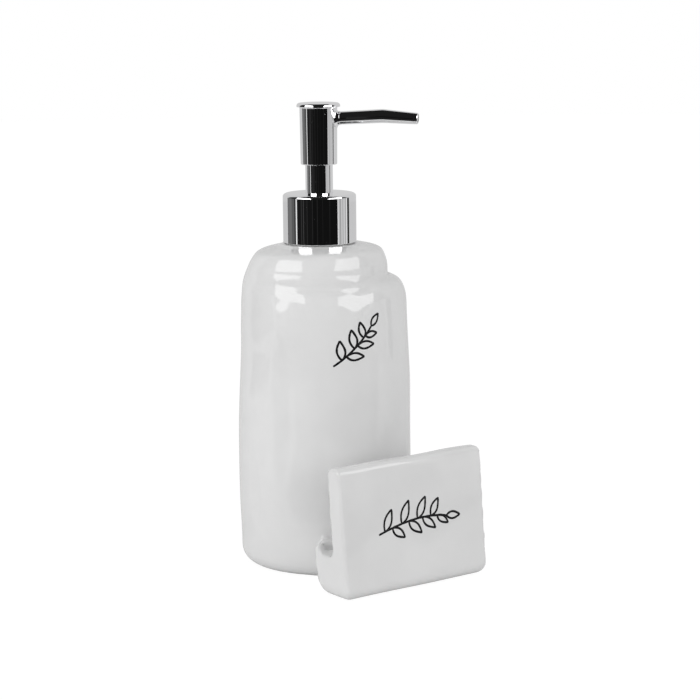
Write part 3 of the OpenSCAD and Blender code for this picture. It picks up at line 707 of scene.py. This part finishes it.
def ranged(nodes, links, source, low, high, out_low, out_high):
    node = nodes.new("ShaderNodeMapRange")
    for key, value in zip(("From Min", "From Max", "To Min", "To Max"), (low, high, out_low, out_high)):
        node.inputs[key].default_value = value
    links.new(source, node.inputs["Value"])
    return node.outputs["Result"]


def bumped(nodes, links, bsdf, height, strength, distance):
    node = nodes.new("ShaderNodeBump")
    node.inputs["Strength"].default_value = strength
    node.inputs["Distance"].default_value = distance
    links.new(height, node.inputs["Height"])
    links.new(node.outputs["Normal"], bsdf.inputs["Normal"])


def mixed_colour(nodes, links, factor, a, b):
    node = nodes.new("ShaderNodeMix")
    node.data_type = "RGBA"
    node.inputs[6].default_value = (*a, 1)
    node.inputs[7].default_value = (*b, 1)
    links.new(factor, node.inputs[0])
    return node.outputs[2]


GLAZE = (0.76, 0.76, 0.76)
glaze, nt, bsdf = shader("white_glaze", GLAZE, 0.07)
n, l = nt.nodes, nt.links
coord = n.new("ShaderNodeTexCoord")
parts = n.new("ShaderNodeSeparateXYZ")
l.new(coord.outputs["Object"], parts.inputs[0])
slow = noise(n, l, coord, 55, 1.0)
fine = n.new("ShaderNodeMath")
fine.operation = "MULTIPLY_ADD"
fine.inputs[1].default_value = 0.07
l.new(noise(n, l, coord, 260, 2.0).outputs["Fac"], fine.inputs[0])
l.new(slow.outputs["Fac"], fine.inputs[2])
bumped(n, l, bsdf, fine.outputs[0], 0.22, 0.0006)
tone = mixed_colour(n, l, ranged(n, l, noise(n, l, coord, 45, 3.0).outputs["Fac"], 0.35, 0.65, 0, 1),
                    tuple(0.972 * c for c in GLAZE), tuple(1.012 * c for c in GLAZE))
bare = ranged(n, l, parts.outputs["Z"], 0.0002, 0.0005, 1, 0)
foot = n.new("ShaderNodeMix")
foot.data_type = "RGBA"
foot.inputs[7].default_value = (0.62, 0.58, 0.52, 1)
l.new(bare, foot.inputs[0])
l.new(tone, foot.inputs[6])
l.new(foot.outputs[2], bsdf.inputs["Base Color"])
l.new(ranged(n, l, parts.outputs["Z"], 0.0002, 0.0005, 0.75, 0.07), bsdf.inputs["Roughness"])

chrome, nt, bsdf = shader("mirror_chrome", (0.90, 0.90, 0.91), 0.035, 1.0)
n, l = nt.nodes, nt.links
coord = n.new("ShaderNodeTexCoord")
specks = ranged(n, l, noise(n, l, coord, 1500, 0.0).outputs["Fac"], 0.80, 0.83, 0.03, 0.16)
l.new(specks, bsdf.inputs["Roughness"])
bumped(n, l, bsdf, noise(n, l, coord, 90, 0.0).outputs["Fac"], 0.04, 0.0002)

natural, _, bsdf = shader("natural_plastic", (0.72, 0.73, 0.71), 0.38)
bsdf.inputs["Subsurface Weight"].default_value = 0.15
bsdf.inputs["Subsurface Radius"].default_value = (0.002, 0.002, 0.002)
white, _, _ = shader("white_plastic", (0.80, 0.80, 0.79), 0.28)
foam, _, _ = shader("gasket_foam", (0.36, 0.37, 0.38), 0.85)
seal, _, _ = shader("piston_plastic", (0.55, 0.57, 0.60), 0.45)
glue, _, _ = shader("sealant", (0.66, 0.66, 0.61), 0.6)
steel, _, _ = shader("spring_steel", (0.60, 0.61, 0.62), 0.22, 1.0)
ink, _, bsdf = shader("black_ink", (0.008, 0.008, 0.009), 0.4)
bsdf.inputs["Specular IOR Level"].default_value = 0.12

BY_SLOT = {"glazed_ceramic": glaze, "chrome": chrome, "natural_plastic": natural, "white_plastic": white,
           "gasket_foam": foam, "piston_plastic": seal, "adhesive": glue, "spring_steel": steel}


def paint_with(obj, material):
    obj.data.materials.clear()
    obj.data.materials.append(material)


for obj in [ceramic, collar, sleeve, head, nozzle, *inner.values()]:
    paint_with(obj, BY_SLOT[obj["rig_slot"]])

spring_low, spring_high = span("return_spring")
WIRE = 0.9
coil = bpy.data.objects.new("return_spring_coil", bpy.data.meshes.new("return_spring_coil"))
scene.collection.objects.link(coil)
coil = run_tree(coil, tree, {
    "Coil radius": float(4.6 * MM), "Length": float((spring_high[2] - spring_low[2] - WIRE) * MM),
    "Turns": 9.0, "Wire radius": WIRE / 2 * MM,
    "Foot": (0.0, 0.0, float((spring_low[2] + WIRE / 2) * MM)), "Material": steel})
stands_for(coil, "return_spring")
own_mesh(coil)

# %% [markdown]
# ## Ink on the glaze
# Two line drawings of a leafy sprig, one on the bottle and one on the tray's plate. Each stroke
# is drawn flat, thrown onto the ceramic along Y, and given to Geometry Nodes as a curve. The
# tree sweeps a round section that lies almost wholly in the glaze, so that only a thin flat
# strip of it stands out, as printed ink does.

# %% Draw the sprigs


def leaf(base, angle, length, width, lean=0.0):
    """Outline of a pointed leaf as two strokes from base to tip."""
    t = np.linspace(0, 1, 15)
    a = math.radians(angle)
    u, v = np.array([math.cos(a), math.sin(a)]), np.array([-math.sin(a), math.cos(a)])
    bulge = width / 2 * np.sin(math.pi * t ** 0.85)
    drift = lean * np.sin(math.pi * t / 2) ** 2
    mid = np.array(base)[None] + t[:, None] * length * u + drift[:, None] * v
    return [mid + bulge[:, None] * v, mid - bulge[:, None] * v]


def bent(points, count=40):
    """Smooth stroke through three points."""
    a, b, c = (np.array(q, float) for q in points)
    t = np.linspace(0, 1, count)[:, None]
    control = 2 * b - (a + c) / 2
    return (1 - t) ** 2 * a + 2 * t * (1 - t) * control + t ** 2 * c


def sprig(stem_points, leaves, tip):
    stem = bent(stem_points)
    strokes = [stem]
    for share, angle, length, width in leaves:
        strokes += leaf(stem[int(share * (len(stem) - 1))], angle, length, width, 0.6)
    strokes += leaf(stem[-1], *tip)
    return strokes


bottle_strokes = sprig([(-19, 99.5), (-9.5, 107.5), (-1, 117)],
                       [(0.20, 92, 9.0, 3.6), (0.30, -8, 8.5, 3.4), (0.50, 96, 8.8, 3.6),
                        (0.58, -4, 8.6, 3.4), (0.76, 100, 7.6, 3.2), (0.82, 0, 6.4, 2.8)],
                       (52, 6.8, 3.0))
tray_strokes = sprig([(-19, 27.5), (2, 31.5), (20, 30.5)],
                     [(0.10, 62, 10.5, 4.0), (0.20, -42, 8.6, 3.6), (0.32, 62, 11.0, 4.2),
                      (0.42, -46, 9.4, 3.8), (0.54, 58, 10.6, 4.0), (0.64, -44, 9.0, 3.6),
                      (0.76, 54, 9.0, 3.6), (0.85, -40, 7.2, 3.0)],
                     (-4, 7.6, 3.2))

bpy.context.view_layer.update()
skin = BVHTree.FromObject(ceramic, bpy.context.evaluated_depsgraph_get())
SECTION, STAND = 1.0, 0.15


def thrown(stroke):
    """Stroke on the ceramic, sunk along the surface's normal so that only its crown stands out."""
    length = np.concatenate([[0], np.cumsum(np.linalg.norm(np.diff(stroke, axis=0), axis=1))])
    count = max(int(length[-1] / 0.5), 6)
    at = np.linspace(0, length[-1], count)
    x, z = np.interp(at, length, stroke[:, 0]), np.interp(at, length, stroke[:, 1])
    fade = np.minimum(at, length[-1] - at)
    points = []
    for px, pz, f in zip(x, z, fade):
        hit, normal, _, _ = skin.ray_cast(Vector((px * MM, -0.12, pz * MM)), Vector((0, 1, 0)))
        stand = STAND * (0.55 + 0.45 * min(f / 0.8, 1)) * (1 + 0.12 * math.sin(1.7 * px + 2.3 * pz))
        points.append(hit - normal * (SECTION - stand) * MM)
    return points


def stroke_curve(name, strokes):
    curve = bpy.data.curves.new(name, "CURVE")
    curve.dimensions = "3D"
    for stroke in strokes:
        points = thrown(stroke)
        spline = curve.splines.new("POLY")
        spline.points.add(len(points) - 1)
        for q, point in zip(spline.points, points):
            q.co = (*point, 1)
    obj = bpy.data.objects.new(name, curve)
    scene.collection.objects.link(obj)
    return obj


ink_tree, group_in, group_out = new_tree("ink_tree", [
    ("Section radius", "Float", 0.001), ("Sides", "Int", 40), ("Material", "Material", None)])
profile = ink_tree.nodes.new("GeometryNodeCurvePrimitiveCircle")
sweep = ink_tree.nodes.new("GeometryNodeCurveToMesh")
sweep.inputs["Fill Caps"].default_value = True
shade = ink_tree.nodes.new("GeometryNodeSetShadeSmooth")
real = ink_tree.nodes.new("GeometryNodeRealizeInstances")
paint = ink_tree.nodes.new("GeometryNodeSetMaterial")
link = ink_tree.links.new
link(group_in.outputs["Sides"], profile.inputs["Resolution"])
link(group_in.outputs["Section radius"], profile.inputs["Radius"])
link(group_in.outputs["Geometry"], sweep.inputs["Curve"])
link(profile.outputs["Curve"], sweep.inputs["Profile Curve"])
link(sweep.outputs["Mesh"], shade.inputs["Geometry"])
link(shade.outputs["Geometry"], real.inputs["Geometry"])
link(real.outputs["Geometry"], paint.inputs["Geometry"])
link(group_in.outputs["Material"], paint.inputs["Material"])
link(paint.outputs["Geometry"], group_out.inputs["Geometry"])

for name, strokes in (("bottle_ink", bottle_strokes), ("tray_ink", tray_strokes)):
    lines = stroke_curve(name + "_lines", strokes)
    made = run_tree(lines, ink_tree, {"Section radius": SECTION * MM, "Sides": 40,
                                      "Material": ink})
    made.name = name
    bpy.data.objects.remove(lines)
    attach(made, "bottle")
    print(name, "strokes:", len(strokes), "faces:", len(made.data.polygons))

# %% [markdown]
# ## Camera
# The camera stands where the photograph was taken from: 1.05 m away, 36 degrees to the left of
# the tray's front, a little above the pump's head, with a long lens. Its own frame has a to the
# image's right and b away from the viewer.

# %% Place the camera
TURN, PITCH, YAW, ROLL = (math.radians(v) for v in (35.64, 9.899, 0.690, 0.574))


def from_view(a, b, z):
    """Point or direction in the row frame from one in the camera's upright frame."""
    return Vector((a * math.cos(TURN) + b * math.sin(TURN), -a * math.sin(TURN) + b * math.cos(TURN), z))


forward = from_view(math.sin(YAW) * math.cos(PITCH), math.cos(YAW) * math.cos(PITCH), -math.sin(PITCH))
level = forward.cross(Vector((0, 0, 1))).normalized()
upright = level.cross(forward)
cam_up = upright * math.cos(ROLL) + level * math.sin(ROLL)
cam_right = level * math.cos(ROLL) - upright * math.sin(ROLL)
camera = bpy.data.objects.new("camera", bpy.data.cameras.new("camera"))
scene.collection.objects.link(camera)
camera.data.sensor_width = 36
camera.data.lens = 116.28
camera.data.clip_start, camera.data.clip_end = 0.1, 20
camera.matrix_world = Matrix.Translation(from_view(0.0009, -1.050, 0.2833)) @ Matrix(
    (cam_right, cam_up, -forward)).transposed().to_4x4()
scene.camera = camera
print("camera at", [round(v, 4) for v in camera.matrix_world.translation])

# %% [markdown]
# ## Studio
# The photograph was taken in a white sweep with two large soft lights in front, left and right
# of the camera. The ceramic takes its shading from two area lamps and an even white world. What
# the gloss surfaces mirror is a set of cards that only mirror rays see: the two soft lights, a
# pale backdrop, a dark room in front, and the narrow bands between them that give the chrome
# its stripes.

# %% Cards and lamps


def glow(name, value, colour=(1, 1, 1)):
    mat = bpy.data.materials.new(name)
    mat.use_nodes = True
    nodes, links = mat.node_tree.nodes, mat.node_tree.links
    nodes.clear()
    emit = nodes.new("ShaderNodeEmission")
    emit.inputs["Color"].default_value = (*colour, 1)
    emit.inputs["Strength"].default_value = value
    out = nodes.new("ShaderNodeOutputMaterial")
    links.new(emit.outputs[0], out.inputs["Surface"])
    return mat


def card(name, corners, value):
    """A card that only mirror rays see."""
    mesh = bpy.data.meshes.new(name)
    mesh.from_pydata([tuple(c) for c in corners[0]], [], corners[1])
    obj = bpy.data.objects.new(name, mesh)
    scene.collection.objects.link(obj)
    obj.data.materials.append(glow(name, value))
    obj.visible_camera = obj.visible_diffuse = obj.visible_shadow = False
    obj.visible_transmission = obj.visible_volume_scatter = False
    return obj


def quad(*points):
    return [from_view(*q) for q in points], [(0, 1, 2, 3)]


def wall(radius, az0, az1, low, high):
    """Upright strip of a cylinder; azimuth 0 is towards the camera and grows to the image's right."""
    count = max(int(abs(az1 - az0) / 3), 1) + 1
    points = []
    for az in np.radians(np.linspace(az0, az1, count)):
        for z in (low, high):
            points.append(from_view(radius * math.sin(az), -radius * math.cos(az), z))
    return points, [(2 * i, 2 * i + 2, 2 * i + 3, 2 * i + 1) for i in range(count - 1)]


def ground(r0, r1, az0, az1, z):
    count = max(int(abs(az1 - az0) / 4), 1) + 1
    points = []
    for az in np.radians(np.linspace(az0, az1, count)):
        for r in (r0, r1):
            points.append(from_view(r * math.sin(az), -r * math.cos(az), z))
    return points, [(2 * i, 2 * i + 2, 2 * i + 3, 2 * i + 1) for i in range(count - 1)]


def softbox(name, directions, value, reach=1.2, middle=0.14):
    """Card whose corners lie at the given azimuths and elevations from the bottle's shoulder."""
    corners = []
    for az, el in np.radians(directions):
        corners.append((reach * math.sin(az) * math.cos(el), -reach * math.cos(az) * math.cos(el),
                        middle + reach * math.sin(el)))
    card(name, quad(*corners), value)


SOFT = 3.4
softbox("soft_left", [(-25.5, 8), (-73, 8), (-89, 45), (-34.5, 45)], SOFT)
softbox("soft_right", [(25, 8), (71, 8), (91, 45), (38.5, 45)], SOFT)
BANDS = [(-118, -116, 0.02), (-116, -97, 0.17), (-97, -85, 0.11), (-85, -79.5, 0.03), (-79.5, -74.5, 0.85),
         (-74.5, -60, 0.010), (-60, -57, 0.035), (-57, -52, 0.012), (-52, -50, 0.06), (-50, -40, 0.010),
         (-40, -38, 0.028), (-38, -23, 0.008), (-23, -21, 0.022), (-21, -8, 0.006), (-8, -6, 0.020),
         (-6, 9, 0.006), (9, 10, 0.018), (10, 30, 0.006), (30, 33, 0.013), (33, 58, 0.006), (58, 60.5, 0.9),
         (60.5, 66, 0.52), (66, 70, 0.36), (70, 76, 0.60), (76, 79, 0.40), (79, 86, 0.62), (86, 91, 0.42),
         (91, 95.5, 0.85), (95.5, 105, 0.03)]
for k, (az0, az1, value) in enumerate(BANDS):
    card(f"band_{k}", wall(0.62, az0, az1, -0.02, 0.23), value)
card("backdrop", wall(1.6, 98, 245, -0.2, 2.9), 0.64)
FRONT_EDGE = -0.14
card("dark_floor", quad((-1.2, FRONT_EDGE, 0.0004), (1.2, FRONT_EDGE, 0.0004), (1.2, -1.4, 0.0004),
                        (-1.2, -1.4, 0.0004)), 0.015)
card("floor_streak", ground(0.2, 0.62, -50, -41, 0.0008), 0.45)


def area_lamp(name, place, target, size, power):
    lamp = bpy.data.lights.new(name, "AREA")
    lamp.shape = "RECTANGLE"
    lamp.size, lamp.size_y = size
    lamp.energy = power
    obj = bpy.data.objects.new(name, lamp)
    scene.collection.objects.link(obj)
    obj.location = from_view(*place)
    obj.rotation_mode = "QUATERNION"
    obj.rotation_quaternion = (Vector(target) - obj.location).to_track_quat("-Z", "Y")
    obj.visible_glossy = False
    obj.visible_camera = False
    return obj


area_lamp("lamp_left", (-0.95, -0.78, 0.42), (0, -0.02, 0.1), (0.9, 0.9), 5.0)
area_lamp("lamp_right", (0.95, -0.80, 0.42), (0, -0.02, 0.1), (0.7, 0.7), 2.5)

world = bpy.data.worlds.new("studio")
scene.world = world
world.use_nodes = True
n, l = world.node_tree.nodes, world.node_tree.links
n.clear()
rays = n.new("ShaderNodeLightPath")
shades = {}
for label, value in (("seen", 1.0), ("mirrored", 0.012), ("even", 0.68)):
    shades[label] = n.new("ShaderNodeBackground")
    shades[label].inputs["Color"].default_value = (1, 1, 1, 1)
    shades[label].inputs["Strength"].default_value = value
first, second = n.new("ShaderNodeMixShader"), n.new("ShaderNodeMixShader")
l.new(rays.outputs["Is Glossy Ray"], first.inputs[0])
l.new(shades["even"].outputs[0], first.inputs[1])
l.new(shades["mirrored"].outputs[0], first.inputs[2])
l.new(rays.outputs["Is Camera Ray"], second.inputs[0])
l.new(first.outputs[0], second.inputs[1])
l.new(shades["seen"].outputs[0], second.inputs[2])
out = n.new("ShaderNodeOutputWorld")
l.new(second.outputs[0], out.inputs["Surface"])

# %% [markdown]
# The floor is white to the camera and keeps a faint shadow: most of what the camera sees there
# is plain light, and a small share is a real matt surface.

# %% Floor
floor_points, floor_faces = ground(0.0, 3.0, 0, 360, -0.0002)
floor = bpy.data.objects.new("floor", bpy.data.meshes.new("floor"))
floor.data.from_pydata([tuple(q) for q in floor_points], [], floor_faces)
scene.collection.objects.link(floor)
sweep_mat = bpy.data.materials.new("white_sweep")
sweep_mat.use_nodes = True
n, l = sweep_mat.node_tree.nodes, sweep_mat.node_tree.links
n.clear()
rays = n.new("ShaderNodeLightPath")
matt = n.new("ShaderNodeBsdfDiffuse")
matt.inputs["Color"].default_value = (0.85, 0.85, 0.85, 1)
lit = n.new("ShaderNodeEmission")
lit.inputs["Strength"].default_value = 1.06
both = n.new("ShaderNodeMixShader")
share = n.new("ShaderNodeMath")
share.operation = "MULTIPLY"
share.inputs[1].default_value = 0.90
l.new(rays.outputs["Is Camera Ray"], share.inputs[0])
l.new(share.outputs[0], both.inputs[0])
l.new(matt.outputs[0], both.inputs[1])
l.new(lit.outputs[0], both.inputs[2])
out = n.new("ShaderNodeOutputMaterial")
l.new(both.outputs[0], out.inputs["Surface"])
floor.data.materials.append(sweep_mat)

# %% [markdown]
# ## Render settings
# The picture's colours are set plainly, with no film curve.

# %% Finish
scene.view_settings.view_transform = "Standard"
scene.view_settings.look = "None"
scene.render.film_transparent = False
